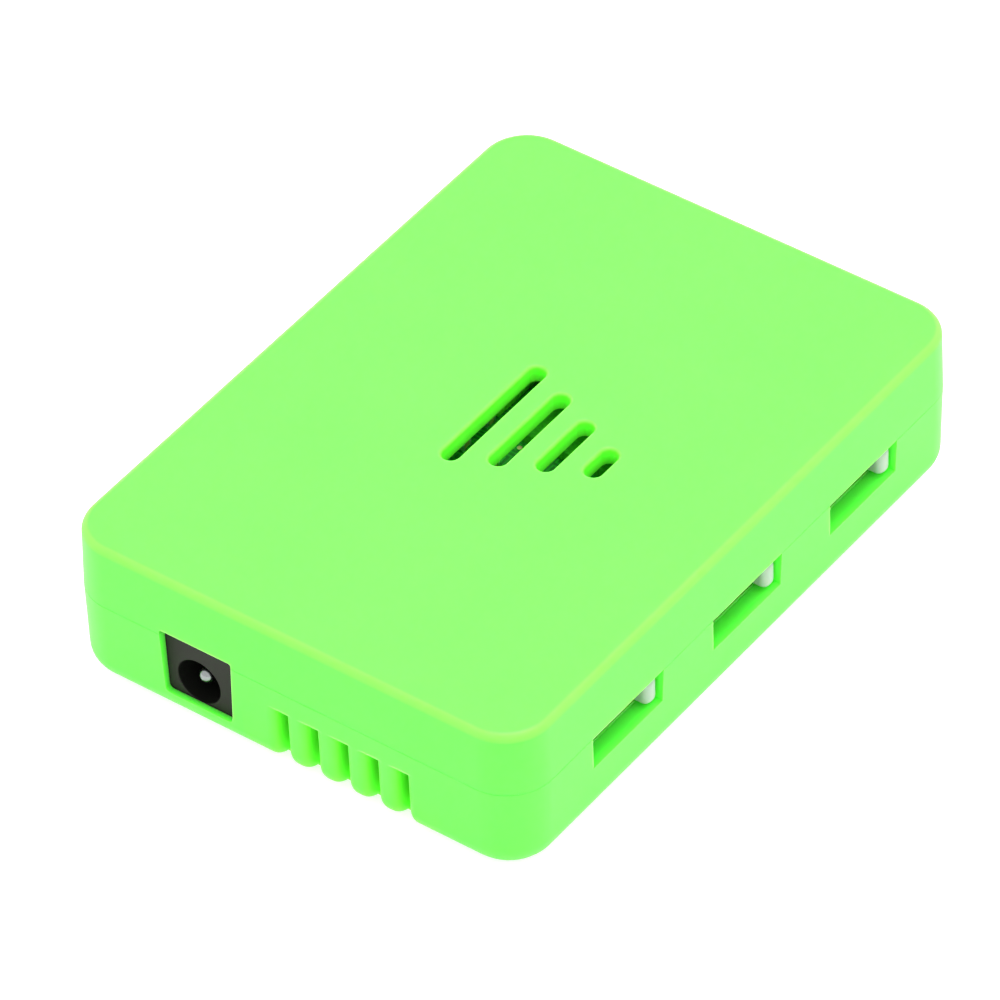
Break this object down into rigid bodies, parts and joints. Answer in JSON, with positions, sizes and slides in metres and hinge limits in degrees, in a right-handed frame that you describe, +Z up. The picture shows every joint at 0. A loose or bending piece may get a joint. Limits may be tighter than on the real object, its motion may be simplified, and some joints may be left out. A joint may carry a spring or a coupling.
{
  "type": "single board computer in a slotted case",
  "caption": "Small boxed computer: two moulded green shells round a hanging circuit board, roof slots, front vents, a barrel power socket and recessed side slide switches.",
  "frame": {"origin": "under the middle of the tray, on the surface that it rests on", "axes": "+Z up; +Y along the case's length, from the wall with the power socket to the plain wall; +X across the case, towards the wall with the switch windows"},
  "size_m": [0.06, 0.0822, 0.0194],
  "materials": {
    "case_plastic": "satin, fine moulded grain",
    "lever_plastic": "smooth milky white",
    "socket_plastic": "fine matt",
    "black_plastic": "matt",
    "board_laminate": "green solder mask",
    "chip_resin": "fine matt moulding",
    "tinned_metal": "tin plate",
    "plated_steel": "nickel plate",
    "can_aluminium": "drawn",
    "ceramic": "fired ceramic",
    "ferrite": "pressed ferrite",
    "gilt_brass": "gold flash"
  },
  "bodies": {
    "case": {"bottom_tray": "case_plastic", "top_cover": "case_plastic", "case_screws": "plated_steel", "circuit_board": "board_laminate", "processor": "chip_resin", "memory_chip": "chip_resin", "storage_chip": "chip_resin", "storage_leads": "tinned_metal", "wireless_board": "board_laminate", "wireless_shield": "tinned_metal", "clock_crystal": "tinned_metal", "power_regulator": "chip_resin", "regulator_leads": "tinned_metal", "power_inductors": "ferrite", "power_diode": "chip_resin", "bulk_capacitors": "can_aluminium", "capacitor_bases": "black_plastic", "small_capacitors": "ceramic", "serial_header": "black_plastic", "header_pins": "gilt_brass", "jack_housing": "socket_plastic", "jack_pin": "tinned_metal", "jack_contacts": "tinned_metal", "switch_frame_front": "plated_steel", "switch_base_front": "black_plastic", "switch_contacts_front": "gilt_brass", "switch_frame_middle": "plated_steel", "switch_base_middle": "black_plastic", "switch_contacts_middle": "gilt_brass", "switch_frame_rear": "plated_steel", "switch_base_rear": "black_plastic", "switch_contacts_rear": "gilt_brass"},
    "lever_front": {"switch_lever_front": "lever_plastic", "switch_wiper_front": "gilt_brass"},
    "lever_middle": {"switch_lever_middle": "lever_plastic", "switch_wiper_middle": "gilt_brass"},
    "lever_rear": {"switch_lever_rear": "lever_plastic", "switch_wiper_rear": "gilt_brass"}
  },
  "joints": [
    {"name": "front_switch_slide", "type": "slide", "parent": "case", "child": "lever_front", "axis": [0, -1, 0], "range_m": [0, 0.01]},
    {"name": "middle_switch_slide", "type": "slide", "parent": "case", "child": "lever_middle", "axis": [0, -1, 0], "range_m": [0, 0.01]},
    {"name": "rear_switch_slide", "type": "slide", "parent": "case", "child": "lever_rear", "axis": [0, -1, 0], "range_m": [0, 0.01]}
  ]
}
